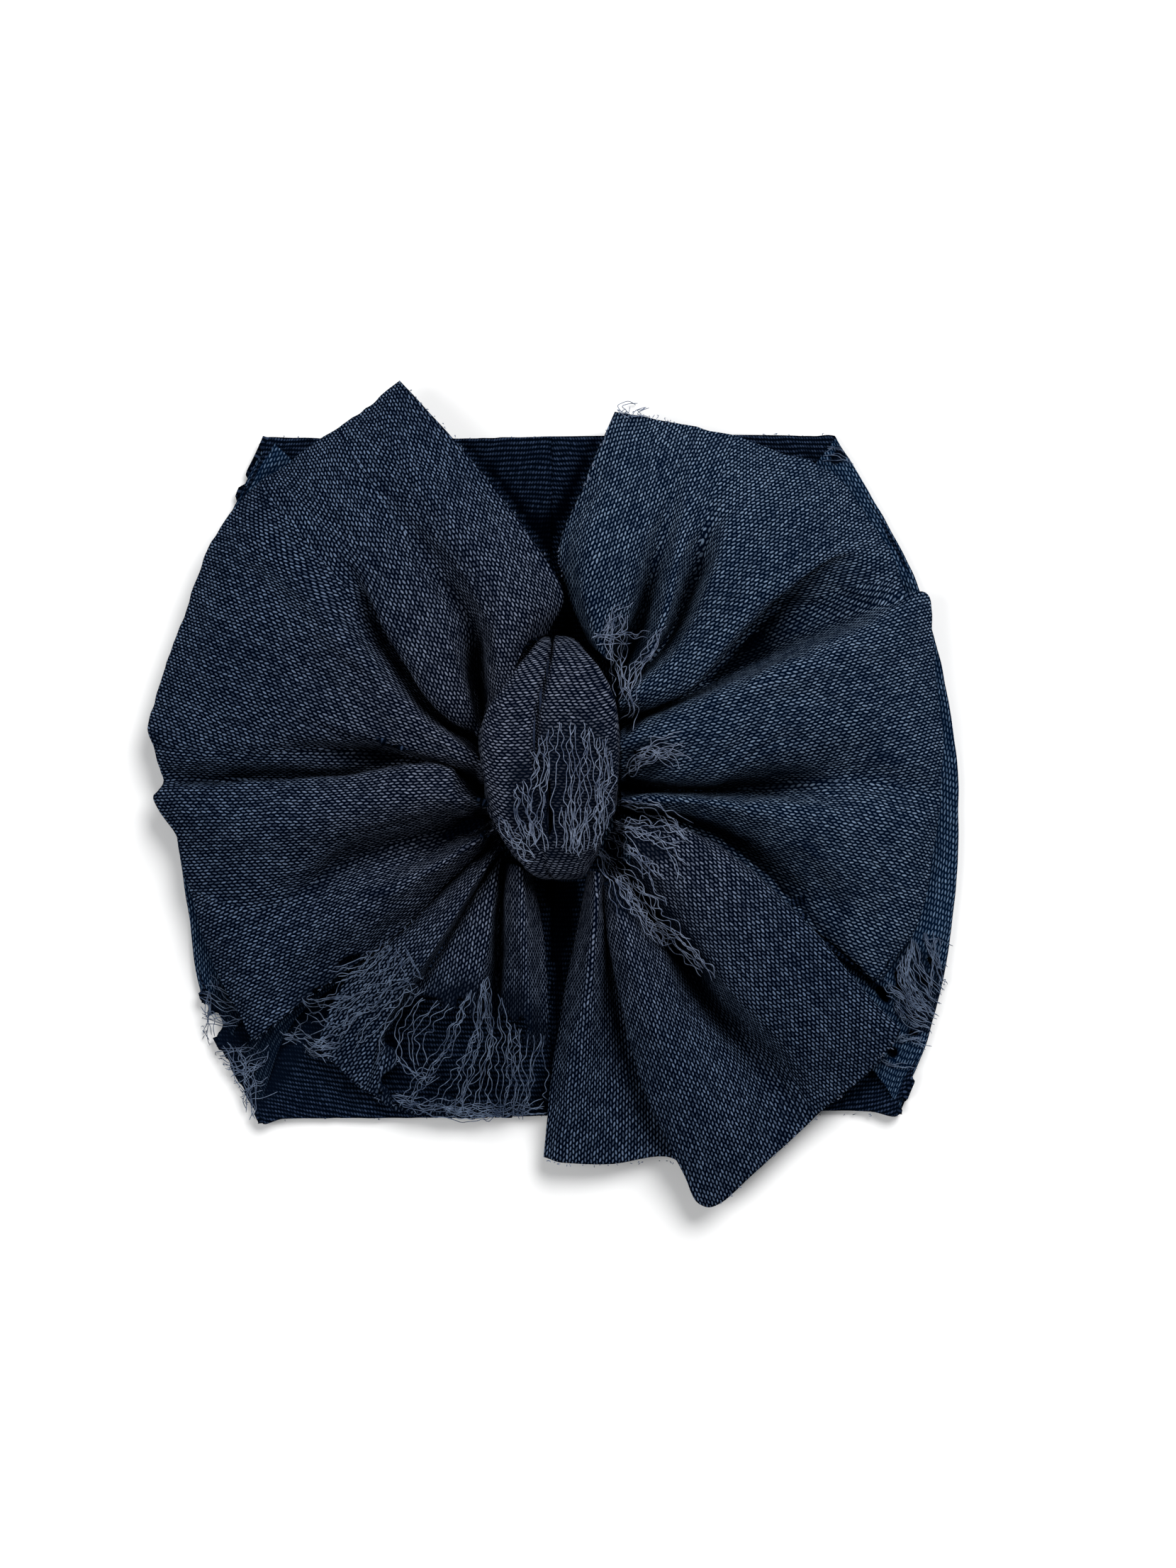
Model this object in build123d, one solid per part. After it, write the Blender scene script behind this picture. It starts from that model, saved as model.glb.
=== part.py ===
"""Hair bow on a wide head band, lying flat with its bow upwards, in millimetres.

The band is a flattened loop of knit fabric. Its rear half lies on the resting plane, and its
front half rises from the two side folds to a gathered neck. The bow is tied on that neck: two
loops and two tails leave a bundle of gathered layers, which thread holds and a wrap covers.

+Z is up, out of the bow. +X is towards the wearer's left, +Y towards the top edge of the band.
The origin is on the resting plane, straight below the middle of the knot.
"""

from build123d import *
import os
from math import cos, hypot, radians, sin

# ---- driving dimensions -------------------------------------------------------------------
FABRIC = 1.5  # thickness of one layer of the knit, at rest
WRAP_FABRIC = 2.0  # the wrap is a folded strip, pulled tight

# The knot, seen from above, is an oval, and seen from the side it is an ellipse.
KNOT_HALF_WIDTH = 17.0
KNOT_OVAL_LENGTH = 32.4
WRAP_HALF_LENGTH = 29.5
WRAP_HALF_HEIGHT = 15.0
WRAP_UNDERSIDE = 7.5
ROOT_CLEARANCE = 0.6  # room between the wrap's oval and a loop or tail
SKIN_GAP = 0.1  # room between pieces that lie against each other

# The band: (y, left fold x, right fold x) from its top edge down to its bottom edge.
BAND_STATIONS = [
    (79.0, -70.0, 70.0),
    (50.0, -85.0, 85.0),
    (15.0, -93.0, 96.0),
    (-22.0, -91.0, 99.0),
    (-55.0, -83.0, 95.0),
    (-87.0, -71.0, 85.0),
]
FOLD_HEIGHT = 3.0  # the band's thickness at its side folds
NECK_TOP = 11.0  # top of the front half where it meets the knot
NECK_HALF_LENGTH = 22.0  # half of the front half's length along Y at the knot

# Thread
GATHER_THREAD_RADIUS = 0.3
GATHER_TURNS = 6
GATHER_PITCH = 1.6
STITCH_RADIUS = 0.3
STITCH_LENGTH = 4.0
STITCH_COUNT = 8
STITCH_PITCH = 3.0

# Height of the loops and the tails
LOOP_DOME = (108.0, 112.0, 30.0)
TAIL_DOME = (105.0, 125.0, 23.0)
LOOP_UNDERSIDE = 13.2  # at the knot
LOOP_FALL = 0.09  # drop of the underside per millimetre away from the knot
TAIL_UNDERSIDE = 12.5
TAIL_FALL = 0.05
TALL = 60.0  # more than the whole height

# ---- places worked out from them ----------------------------------------------------------
KNOT_HEIGHT = WRAP_UNDERSIDE + WRAP_HALF_HEIGHT
CORE_HALF_LENGTH = WRAP_HALF_LENGTH - WRAP_FABRIC - SKIN_GAP
CORE_HALF_HEIGHT = WRAP_HALF_HEIGHT - WRAP_FABRIC - SKIN_GAP


# ---- helpers ------------------------------------------------------------------------------
def flat_outline(*edges):
    """A face on the resting plane, bounded by these edges."""
    return make_face(list(edges))


def column(face):
    """The face pulled straight up, taller than the object."""
    return extrude(face, amount=TALL, dir=(0, 0, 1))


def knot_column(grow=0.0):
    """The oval of the knot as a vertical column."""
    oval = Ellipse(KNOT_HALF_WIDTH + grow, KNOT_OVAL_LENGTH + grow)
    return column(oval)


def crosswise_bar(half_length, half_height):
    """An elliptical bar along X through the middle of the knot."""
    side = Plane((-KNOT_HALF_WIDTH - 1, 0, KNOT_HEIGHT), x_dir=(0, 1, 0), z_dir=(1, 0, 0))
    return extrude(side * Ellipse(half_length, half_height), amount=2 * KNOT_HALF_WIDTH + 2)


def dome(radii):
    """The upper part of an ellipsoid that stands on the resting plane."""
    half = column(Rectangle(300, 300))
    return scale(Sphere(1), by=radii) & half


def above_slope(direction_deg, start_height, fall):
    """Everything above a plane that falls away from the knot in that direction."""
    reach = 200.0
    block = Box(2 * reach, 2 * reach, 2 * reach, align=(Align.CENTER, Align.CENTER, Align.MIN))
    out = Vector(cos(radians(direction_deg)), sin(radians(direction_deg)), -fall).normalized()
    across = Vector(-sin(radians(direction_deg)), cos(radians(direction_deg)), 0)
    return Plane((0, 0, start_height), x_dir=out, z_dir=out.cross(across)) * block


def soft_flap(outline, dome_radii, slope):
    """A loop or a tail: its outline from above, a domed top and a sloping underside."""
    body = column(outline) & dome(dome_radii) & slope
    return body - knot_column(ROOT_CLEARANCE)


# ---- band ---------------------------------------------------------------------------------
def band_section(y, points):
    """One cross-section of the band at y, from its (x, z) corners."""
    return make_face(Polyline(*[(x, y, z) for x, z in points], close=True))


def band_outside(y, left, right, extra=0.0):
    return band_section(
        y + extra,
        [
            (left, 0),
            (right, 0),
            (right, FOLD_HEIGHT),
            (KNOT_HALF_WIDTH, NECK_TOP),
            (-KNOT_HALF_WIDTH, NECK_TOP),
            (left, FOLD_HEIGHT),
        ],
    )


def band_inside(y, left, right, extra=0.0):
    return band_section(
        y + extra,
        [
            (left + FABRIC, FABRIC),
            (right - FABRIC, FABRIC),
            (KNOT_HALF_WIDTH, NECK_TOP - FABRIC),
            (-KNOT_HALF_WIDTH, NECK_TOP - FABRIC),
        ],
    )


def band_loop():
    outside = loft([band_outside(*s) for s in BAND_STATIONS], ruled=True)
    past = [1.0] + [0.0] * (len(BAND_STATIONS) - 2) + [-1.0]
    inside = loft([band_inside(*s, extra=e) for s, e in zip(BAND_STATIONS, past)], ruled=True)
    return outside - inside


def gather_notch(end, left_corner, right_corner):
    """What the gathering takes out of the front half, between its raw edge and the knot."""
    beyond = end * 40
    raw_edge_left = Spline(
        (-KNOT_HALF_WIDTH + 2, end * NECK_HALF_LENGTH),
        ((left_corner[0] - KNOT_HALF_WIDTH) / 2 - 2, left_corner[1] * 0.66),
        left_corner,
    )
    raw_edge_right = Spline(
        (KNOT_HALF_WIDTH - 2, end * NECK_HALF_LENGTH),
        ((right_corner[0] + KNOT_HALF_WIDTH) / 2 + 2, right_corner[1] * 0.66),
        right_corner,
    )
    return column(
        flat_outline(
            raw_edge_left,
            Polyline(
                left_corner,
                (left_corner[0], left_corner[1] + beyond),
                (right_corner[0], right_corner[1] + beyond),
                right_corner,
            ),
            raw_edge_right,
            Line((KNOT_HALF_WIDTH - 2, end * NECK_HALF_LENGTH), (-KNOT_HALF_WIDTH + 2, end * NECK_HALF_LENGTH)),
        )
    )


def band_pieces():
    loop = band_loop()
    side = Align.CENTER
    rear_space = Box(300, 300, FABRIC, align=(side, side, Align.MIN))
    front_space = Pos(0, 0, FABRIC) * Box(300, 300, TALL, align=(side, side, Align.MIN))
    front = (loop & front_space) - knot_column(SKIN_GAP)
    top_y = BAND_STATIONS[0][0]
    bottom_y = BAND_STATIONS[-1][0]
    front -= gather_notch(1, (BAND_STATIONS[0][1], top_y), (BAND_STATIONS[0][2], top_y))
    front -= gather_notch(-1, (BAND_STATIONS[-1][1], bottom_y), (BAND_STATIONS[-1][2], bottom_y))
    left_space = Box(200, 300, 3 * TALL, align=(Align.MAX, side, side))
    return loop & rear_space, front & left_space, front - left_space


# ---- knot ---------------------------------------------------------------------------------
def knot_wrap():
    tube = crosswise_bar(WRAP_HALF_LENGTH, WRAP_HALF_HEIGHT)
    tube -= crosswise_bar(WRAP_HALF_LENGTH - WRAP_FABRIC, WRAP_HALF_HEIGHT - WRAP_FABRIC)
    return tube & knot_column()


def gathered_layers():
    """The bundle inside the wrap, waisted where the thread is wound round it."""
    slack = 3 * GATHER_THREAD_RADIUS
    bar = crosswise_bar(CORE_HALF_LENGTH, CORE_HALF_HEIGHT)
    waist_width = GATHER_TURNS * GATHER_PITCH
    waist = crosswise_bar(CORE_HALF_LENGTH + 1, CORE_HALF_HEIGHT + 1)
    waist -= crosswise_bar(CORE_HALF_LENGTH - slack, CORE_HALF_HEIGHT - slack)
    waist &= Pos(0, 0, KNOT_HEIGHT) * Box(waist_width, 4 * KNOT_OVAL_LENGTH, TALL)
    return (bar - waist) & knot_column()


def gather_thread():
    """The turns of strong thread that hold the gathered layers together."""
    inset = 1.4 * GATHER_THREAD_RADIUS
    turns = []
    for i in range(GATHER_TURNS):
        x = (i - (GATHER_TURNS - 1) / 2) * GATHER_PITCH
        side = Plane((x, 0, KNOT_HEIGHT), x_dir=(0, 1, 0), z_dir=(1, 0, 0))
        outer = Ellipse(CORE_HALF_LENGTH - inset + GATHER_THREAD_RADIUS, CORE_HALF_HEIGHT - inset + GATHER_THREAD_RADIUS)
        inner = Ellipse(CORE_HALF_LENGTH - inset - GATHER_THREAD_RADIUS, CORE_HALF_HEIGHT - inset - GATHER_THREAD_RADIUS)
        turns.append(extrude(side * (outer - inner), amount=GATHER_THREAD_RADIUS, both=True))
    return Compound(children=turns)


def wrap_seam_stitches():
    """Hand stitches across the seam that closes the wrap, on its underside."""
    height = WRAP_UNDERSIDE - STITCH_RADIUS - 0.02
    straight = STITCH_LENGTH - 2 * STITCH_RADIUS
    stitches = []
    for i in range(STITCH_COUNT):
        x = (i - (STITCH_COUNT - 1) / 2) * STITCH_PITCH
        bar = Rot(90, 0, 12) * Cylinder(STITCH_RADIUS, straight)
        ends = [Pos(bar.faces().sort_by(Axis.Y)[k].center()) * Sphere(STITCH_RADIUS) for k in (0, -1)]
        stitches.append(Pos(x, 0, height) * (bar + ends[0] + ends[1]))
    return Compound(children=stitches)


# ---- bow ----------------------------------------------------------------------------------
def left_loop():
    outline = flat_outline(
        Line((0, 0), (0.8, 33)),
        Spline((0.8, 33), (0.8, 40), (-13.4, 58), (-23.7, 71.7), (-36.9, 92.3)),
        Spline((-36.9, 92.3), (-73.6, 64.4), (-92.7, 26.3), (-97.2, 4), (-95, -9), (-88.6, -27), (-72.2, -67.6)),
        Spline((-72.2, -67.6), (-55, -53), (-34.9, -40), (-14, -21)),
        Line((-14, -21), (0, 0)),
    )
    return soft_flap(outline, LOOP_DOME, above_slope(180, LOOP_UNDERSIDE, LOOP_FALL))


def right_loop():
    outline = flat_outline(
        Line((0, 0), (14, 20)),
        Spline((14, 20), (4.4, 37), (2.6, 48), (8.7, 67), (15.5, 85)),
        Spline((15.5, 85), (44, 78), (69.9, 67), (86.9, 41), (94.6, 14), (93, -21), (86.5, -45), (81, -54.6)),
        Spline((81, -54.6), (66, -42.5), (48, -25), (34, -15.2), (22, -9.4)),
        Line((22, -9.4), (0, 0)),
    )
    return soft_flap(outline, LOOP_DOME, above_slope(0, LOOP_UNDERSIDE, LOOP_FALL))


def left_tail():
    outline = flat_outline(
        Line((0, 0), (-3, -33)),
        Spline((-3, -33), (-1.2, -54), (-3.4, -87)),
        Spline((-3.4, -87), (-27, -87.8), (-39.6, -85.5)),
        Line((-39.6, -85.5), (-56.6, -71.9)),
        Line((-56.6, -71.9), (-57, -57)),
        Spline((-57, -57), (-35.5, -42.5), (-13, -22.5)),
        Line((-13, -22.5), (0, 0)),
    )
    return soft_flap(outline, TAIL_DOME, above_slope(-115, TAIL_UNDERSIDE, TAIL_FALL))


def right_tail():
    outline = flat_outline(
        Line((0, 0), (2.5, -33)),
        Spline((2.5, -33), (0.6, -60), (-1.9, -97.5)),
        Line((-1.9, -97.5), (30.8, -97.5)),
        Line((30.8, -97.5), (35.9, -108)),
        Line((35.9, -108), (41.3, -108)),
        Spline((41.3, -108), (64.4, -85.2), (88, -64)),
        Line((88, -64), (82, -57)),
        Spline((82, -57), (67, -45), (49, -27.4), (34.5, -17.4), (22, -11)),
        Line((22, -11), (0, 0)),
    )
    return soft_flap(outline, TAIL_DOME, above_slope(-63, TAIL_UNDERSIDE, TAIL_FALL))


# ---- write --------------------------------------------------------------------------------
def main():
    back_panel, front_left, front_right = band_pieces()
    pieces = {
        "band_back_panel": back_panel,
        "band_front_left": front_left,
        "band_front_right": front_right,
        "knot_wrap": knot_wrap(),
        "gathered_layers": gathered_layers(),
        "gather_thread": gather_thread(),
        "wrap_seam_stitches": wrap_seam_stitches(),
        "left_loop": left_loop(),
        "right_loop": right_loop(),
        "left_tail": left_tail(),
        "right_tail": right_tail(),
    }
    os.makedirs("parts", exist_ok=True)
    for name, shape in pieces.items():
        export_step(shape, f"parts/{name}.step")


main()
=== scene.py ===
"""Hair bow on a gathered head band: the visual model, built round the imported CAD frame."""
from math import atan, ceil, cos, pi, radians, sin

import bpy
import numpy as np
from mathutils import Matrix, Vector


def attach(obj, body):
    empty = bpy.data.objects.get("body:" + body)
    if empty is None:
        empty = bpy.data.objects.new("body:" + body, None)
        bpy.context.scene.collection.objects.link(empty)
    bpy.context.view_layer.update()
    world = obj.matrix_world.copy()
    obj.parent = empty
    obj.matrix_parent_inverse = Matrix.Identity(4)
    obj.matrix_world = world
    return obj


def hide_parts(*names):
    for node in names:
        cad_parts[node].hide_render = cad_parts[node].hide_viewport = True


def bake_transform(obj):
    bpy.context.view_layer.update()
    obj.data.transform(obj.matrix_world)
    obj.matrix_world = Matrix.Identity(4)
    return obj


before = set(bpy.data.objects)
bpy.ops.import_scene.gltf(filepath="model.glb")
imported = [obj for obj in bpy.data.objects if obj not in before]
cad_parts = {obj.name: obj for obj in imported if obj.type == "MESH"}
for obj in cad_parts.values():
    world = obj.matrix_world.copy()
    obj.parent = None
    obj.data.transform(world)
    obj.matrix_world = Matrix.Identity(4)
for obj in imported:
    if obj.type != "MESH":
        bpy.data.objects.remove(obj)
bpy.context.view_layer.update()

MM = 0.001
CLOTH = 1.15  # thickness of one layer of the knit, mm
GRID = 1.25  # spacing of a cloth mesh, mm
FINE_GRID = 0.7  # the same where the cloth is worn through, mm
ROW_PITCH = 0.76  # distance between two rows of stitches, mm
STITCH_PITCH = 1.5  # distance between two stitches along a row, mm
THREAD_RADIUS = 0.1  # of a loose thread, mm
PANEL_SHIFT = 13.7  # between the knit patterns of neighbouring panels, mm

# ---- Numbers: smooth matrices, noise


def hermite(knots, t):
    """Weights (len(t) x len(knots)) of a smooth curve through values given at the knots."""
    n = len(knots)
    h = np.diff(knots)
    tangent = np.zeros((n, n))
    for j in range(1, n - 1):
        a, b = h[j - 1], h[j]
        tangent[j, j + 1] = a / (b * (a + b))
        tangent[j, j - 1] = -b / (a * (a + b))
        tangent[j, j] = (b - a) / (a * b)
    tangent[0, 0], tangent[0, 1] = -1 / h[0], 1 / h[0]
    tangent[-1, -2], tangent[-1, -1] = -1 / h[-1], 1 / h[-1]
    i = np.clip(np.searchsorted(knots, t, side="right") - 1, 0, n - 2)
    f = (t - knots[i]) / h[i]
    eye = np.eye(n)
    w = (2 * f**3 - 3 * f**2 + 1)[:, None] * eye[i]
    w += (-2 * f**3 + 3 * f**2)[:, None] * eye[i + 1]
    w += ((f**3 - 2 * f**2 + f) * h[i])[:, None] * tangent[i]
    w += ((f**3 - f**2) * h[i])[:, None] * tangent[i + 1]
    return w


def noise2(x, y, cell_x, cell_y, seed):
    """Smooth noise from -1 to 1 over a plane, with cells of that size."""
    rng = np.random.default_rng(seed)
    table = rng.uniform(-1, 1, (256, 256))
    u, v = x / cell_x + 500.3, y / cell_y + 500.7
    i, j = np.floor(u).astype(int), np.floor(v).astype(int)
    f, g = u - i, v - j
    f, g = f * f * (3 - 2 * f), g * g * (3 - 2 * g)
    at = lambda a, b: table[a % 256, b % 256]
    low = at(i, j) * (1 - f) + at(i + 1, j) * f
    high = at(i, j + 1) * (1 - f) + at(i + 1, j + 1) * f
    return low * (1 - g) + high * g


def lengths(points, axis):
    """Distance run along an axis of a grid of points, from 0."""
    step = np.linalg.norm(np.diff(points, axis=axis), axis=-1)
    pad = np.zeros_like(np.take(step, [0], axis=axis))
    return np.concatenate([pad, np.cumsum(step, axis=axis)], axis=axis)


# ---- Cloth surfaces from control lines


class Cloth:
    """A surface through control lines. lines[i][k] is point k of line i, in mm. Every line runs
    along the strip, and the lines follow each other across it: ridges, valleys and edges."""

    def __init__(self, lines, closed=False):
        p = np.array(lines, float)
        self.closed = closed
        if closed:
            p = np.concatenate([p, p[:1]])
        across = np.linalg.norm(np.diff(p, axis=0), axis=-1).mean(axis=1)
        along = np.linalg.norm(np.diff(p, axis=1), axis=-1).mean(axis=0)
        self.p = p
        self.ku = np.concatenate([[0], np.cumsum(np.maximum(across, 0.8))])
        self.kv = np.concatenate([[0], np.cumsum(along)])
        if closed:  # carry the curve past its seam so that it joins smoothly
            total = self.ku[-1]
            self.p_fit = np.concatenate([p[-3:-1], p, p[1:3]])
            self.ku_fit = np.concatenate([self.ku[-3:-1] - total, self.ku, self.ku[1:3] + total])
        else:
            self.p_fit, self.ku_fit = p, self.ku

    def at(self, u, v):
        """Points of the surface for equally long arrays of u and v, in knot units."""
        wu = hermite(self.ku_fit, np.asarray(u, float))
        wv = hermite(self.kv, np.asarray(v, float))
        return np.einsum("nl,lkc,nk->nc", wu, self.p_fit, wv)

    def u_of(self, line):
        """Knot value of a line index, which may be a fraction."""
        return np.interp(line, np.arange(len(self.ku)), self.ku)

    def v_of(self, station):
        return np.interp(station, np.arange(len(self.kv)), self.kv)

    def grid(self, res=GRID, fine=((), ())):
        """Points on a grid. fine lists the spans across and along that need a finer one."""
        width = np.linalg.norm(np.diff(self.p, axis=0), axis=-1).max(axis=1)
        length = np.linalg.norm(np.diff(self.p, axis=1), axis=-1).max(axis=0)
        self.u = self._samples(self.ku, width, res, fine[0])
        self.v = self._samples(self.kv, length, res, fine[1])
        wu = hermite(self.ku_fit, self.u)
        wv = hermite(self.kv, self.v)
        return np.einsum("ul,lkc,vk->uvc", wu, self.p_fit, wv)

    @staticmethod
    def _samples(knots, sizes, res, fine):
        out = [knots[:1]]
        for k, (a, b, size) in enumerate(zip(knots[:-1], knots[1:], sizes)):
            n = max(2, int(ceil(size / (FINE_GRID if k in fine else res))))
            out.append(np.linspace(a, b, n + 1)[1:])
        return np.concatenate(out)


def place(name, data):
    """A new object in the scene."""
    obj = bpy.data.objects.new(name, data)
    bpy.context.scene.collection.objects.link(obj)
    return obj


def grid_normals(x):
    du = np.gradient(x, axis=0)
    dv = np.gradient(x, axis=1)
    n = np.cross(du, dv)
    return n / np.maximum(np.linalg.norm(n, axis=-1, keepdims=True), 1e-9)


def soften_edges(x, quads, border):
    """Smooths the stepped edges of the holes in a grid of points. border marks points to keep."""
    sides = [quads[:, [k, (k + 1) % 4]] for k in range(4)]
    pairs = np.sort(np.concatenate(sides), axis=1)
    pairs, count = np.unique(pairs, axis=0, return_counts=True)
    pairs = pairs[count == 1]
    for _ in range(4):
        total, near = np.zeros_like(x), np.zeros(len(x))
        for a, b in ((0, 1), (1, 0)):
            np.add.at(total, pairs[:, a], x[pairs[:, b]])
            np.add.at(near, pairs[:, a], 1)
        move = (near > 0) & ~border
        x[move] = 0.4 * x[move] + 0.6 * total[move] / near[move][:, None]
    return x


def panel_uvs(x, cu, cv, surface, panels, grain):
    """The panel of each row of faces, and the UVs in metres that follow each panel's grain. cu and
    cv are the lengths run along the two directions of the grid x."""
    edges = [surface.u_of(i) for i in panels] + [surface.ku[-1] + 1]
    mid_u = (surface.u[:-1] + surface.u[1:]) / 2
    panel = np.searchsorted(edges, mid_u, side="right") - 1
    third = x.shape[1] // 3
    uvs = []
    for k in range(len(panels)):
        inside = np.where(panel == k)[0]
        centre = int(inside.mean()) if len(inside) else 0
        if grain is None:
            across = cu - cu[centre : centre + 1, :]
            along = cv
        else:
            a = radians(grain[k])
            rise_u = cu - lengths(x[..., :2], 0)
            rise_v = cv - lengths(x[..., :2], 1)
            along = x[..., 0] * cos(a) + x[..., 1] * sin(a) + rise_v
            side = x[..., 0] * sin(a) - x[..., 1] * cos(a)
            way = np.sign(side[-1, 0] - side[0, 0] + side[-1, third] - side[0, third])
            across = side + way * (rise_u - rise_u[centre : centre + 1, :])
        shift = PANEL_SHIFT * k
        uvs.append(np.stack([across + shift, along + shift], -1) * MM)
    return panel, np.array(uvs)


def cloth_object(name, surface, panels, grain=None, crumple=0.35, keep=None, wear=None, up=True, seed=1,
                 fine=((), ())):
    """The mesh of a Cloth: UVs in metres that follow each panel's grain, small crumples, worn
    holes and wear. panels are the line indices where a panel of straight grain begins, and grain is
    the direction of each panel's rows seen from above, in degrees."""
    x = surface.grid(GRID, fine)
    nu, nv = x.shape[:2]
    cu = lengths(x, 0)
    cv = lengths(x, 1)
    n = grid_normals(x)
    if up and n[:, : nv // 3, 2].mean() < 0:
        n = -n
    ripple = noise2(cu, cv, 5.0, 16.0, seed) + 0.5 * noise2(cu, cv, 2.2, 6.0, seed + 1)
    swell = noise2(cu, cv, 11.0, 34.0, seed + 2) * 0.8
    x = x + n * ((ripple + swell) * crumple)[..., None]
    panel, uv_of_panel = panel_uvs(x, cu, cv, surface, panels, grain)
    i, j = np.meshgrid(np.arange(nu - 1), np.arange(nv - 1), indexing="ij")
    i, j = i.ravel(), j.ravel()
    if keep is not None:
        centre = (x[i, j] + x[i + 1, j] + x[i, j + 1] + x[i + 1, j + 1]) / 4
        ok = keep(centre, surface.u[i], surface.v[j])
        i, j = i[ok], j[ok]
    index = np.arange(nu * nv).reshape(nu, nv)
    quads = np.stack([index[i, j], index[i + 1, j], index[i + 1, j + 1], index[i, j + 1]], -1)
    corner_i = np.stack([i, i + 1, i + 1, i], -1)
    corner_j = np.stack([j, j, j + 1, j + 1], -1)
    uv = uv_of_panel[panel[i][:, None], corner_i, corner_j]
    if up:  # wind the faces so that their normals agree with n
        wound = np.cross(x[i + 1, j] - x[i, j], x[i, j + 1] - x[i, j])
        if (wound * n[i, j]).sum() < 0:
            quads, uv = quads[:, ::-1], uv[:, ::-1]
    if keep is not None:
        border = np.zeros((nu, nv), bool)
        border[[0, -1]] = True
        border[:, [0, -1]] = True
        x = soften_edges(x.reshape(-1, 3).copy(), quads, border.ravel())
    used, packed = np.unique(quads, return_inverse=True)
    verts = x.reshape(-1, 3)[used] * MM
    mesh = bpy.data.meshes.new(name)
    mesh.from_pydata(verts.tolist(), [], packed.reshape(quads.shape).tolist())
    layer = mesh.uv_layers.new(name="weave")
    layer.data.foreach_set("uv", uv.reshape(-1).astype(np.float32))
    worn = mesh.attributes.new("wear", "FLOAT", "POINT")
    value = np.zeros(len(used)) if wear is None else wear(x.reshape(-1, 3)[used])
    worn.data.foreach_set("value", value.astype(np.float32))
    return place(name, mesh)


def finish_cloth(obj, outer, inner):
    """Thickness, smooth shading and the two faces' materials, with every modifier applied."""
    obj.data.materials.append(outer)
    obj.data.materials.append(inner)
    m = obj.modifiers.new("cloth", "SOLIDIFY")
    m.thickness = CLOTH * MM
    m.offset = -1
    m.material_offset = 1
    m.material_offset_rim = 1
    m.use_even_offset = False
    graph = bpy.context.evaluated_depsgraph_get()
    solid = bpy.data.meshes.new_from_object(obj.evaluated_get(graph))
    obj.modifiers.clear()
    obj.data = solid
    for face in solid.polygons:
        face.use_smooth = True
    return obj


# ---- Threads


def tube(points, radius=THREAD_RADIUS, sides=5):
    """Vertices and faces of a round thread along points, in mm, with its ends closed."""
    p = np.asarray(points, float)
    t = np.gradient(p, axis=0)
    t /= np.maximum(np.linalg.norm(t, axis=1, keepdims=True), 1e-9)
    ref = np.tile([0.0, 0.0, 1.0], (len(p), 1))
    ref[np.abs(t[:, 2]) > 0.9] = [1.0, 0.0, 0.0]
    a = np.cross(t, ref)
    a /= np.linalg.norm(a, axis=1, keepdims=True)
    b = np.cross(t, a)
    r = np.full(len(p), radius)
    r[0] *= 0.5
    r[-1] *= 0.5
    angle = np.arange(sides) * 2 * pi / sides
    ring = np.cos(angle)[None, :, None] * a[:, None] + np.sin(angle)[None, :, None] * b[:, None]
    verts = (p[:, None] + ring * r[:, None, None]).reshape(-1, 3)
    k = np.arange(len(p) - 1)[:, None] * sides
    s = np.arange(sides)[None, :]
    s2 = (s + 1) % sides
    quads = np.stack([k + s, k + s2, k + sides + s2, k + sides + s], -1).reshape(-1, 4)
    caps = [list(range(sides))[::-1], [(len(p) - 1) * sides + q for q in range(sides)]]
    return verts, quads.tolist() + caps


def smooth_path(points, step):
    """A smooth curve through the points, sampled at about that step."""
    p = np.array(points, float)
    knots = np.concatenate([[0], np.cumsum(np.maximum(np.linalg.norm(np.diff(p, axis=0), axis=1), 1e-3))])
    n = max(4, int(knots[-1] / step))
    return hermite(knots, np.linspace(0, knots[-1], n)) @ p


def threads_object(name, paths, material):
    verts, faces, base = [], [], 0
    for path in paths:
        v, f = tube(path)
        verts.append(v)
        faces += [[q + base for q in face] for face in f]
        base += len(v)
    mesh = bpy.data.meshes.new(name)
    mesh.from_pydata((np.concatenate(verts) * MM).tolist(), [], faces)
    for face in mesh.polygons:
        face.use_smooth = True
    mesh.materials.append(material)
    return place(name, mesh)


# ---- Materials


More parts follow.
